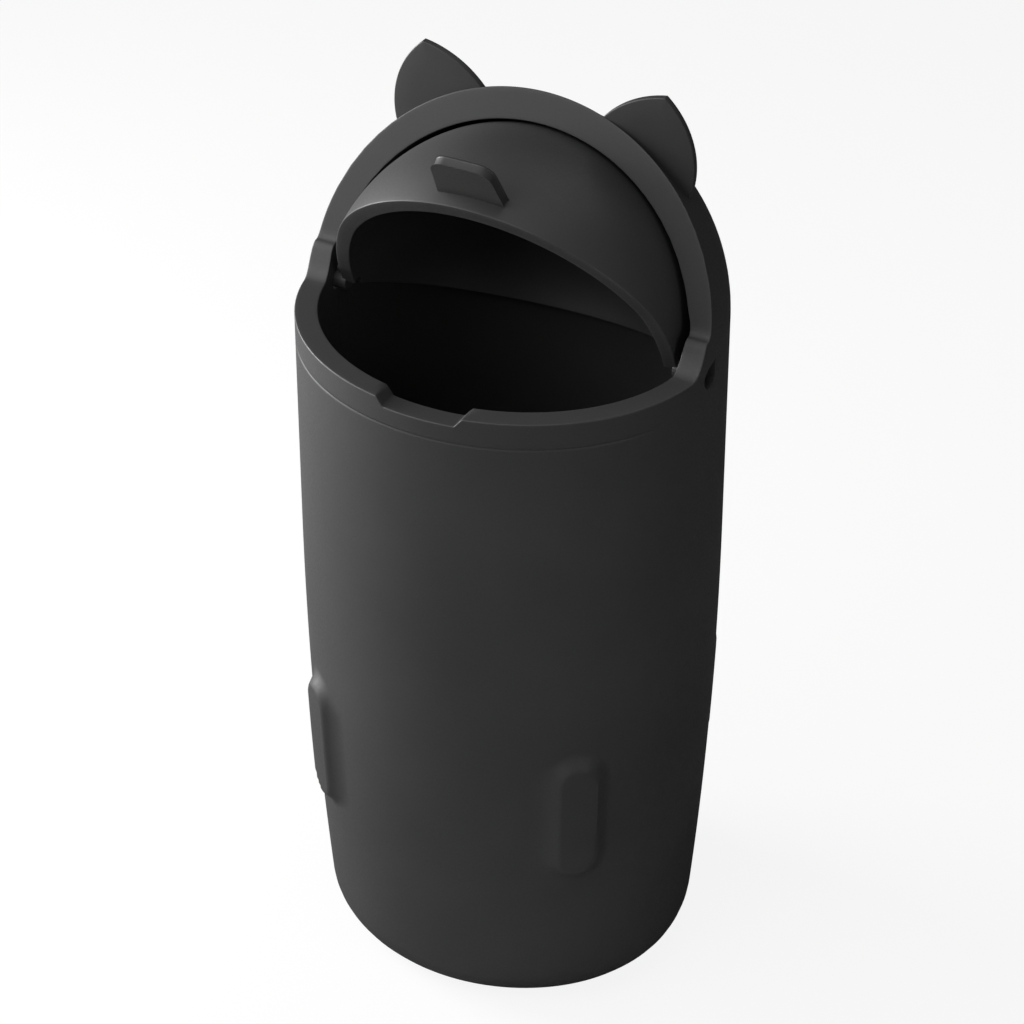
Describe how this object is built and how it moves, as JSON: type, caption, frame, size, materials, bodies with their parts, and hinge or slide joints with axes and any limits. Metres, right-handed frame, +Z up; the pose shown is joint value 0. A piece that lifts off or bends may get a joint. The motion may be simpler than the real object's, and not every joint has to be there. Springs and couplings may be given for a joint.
{
  "type": "car trash bin",
  "caption": "Small upright car trash bin with an oval tapered cup, a rounded hood with two ears over the back of the mouth and a domed swing lid with a finger tongue, shown half open.",
  "frame": {"origin": "the point of the flat base where the base meets the vertical line through the middle of the lid's axis", "axes": "+X to the bin's side along the lid's axis, +Y towards the hood and the back, +Z up"},
  "size_m": [0.08, 0.0756, 0.182],
  "materials": {
    "bin_plastic": "moulded matt black with a soft-touch surface",
    "lid_plastic": "moulded matt black with a soft-touch surface"
  },
  "bodies": {
    "bin": {"bin": "bin_plastic"},
    "lid": {"lid": "lid_plastic"}
  },
  "joints": [
    {"name": "lid_swing", "type": "hinge", "parent": "bin", "child": "lid", "pos_m": [0, 0, 0.1362], "axis": [-1, 0, 0], "range_deg": [-56.4, 37]}
  ]
}
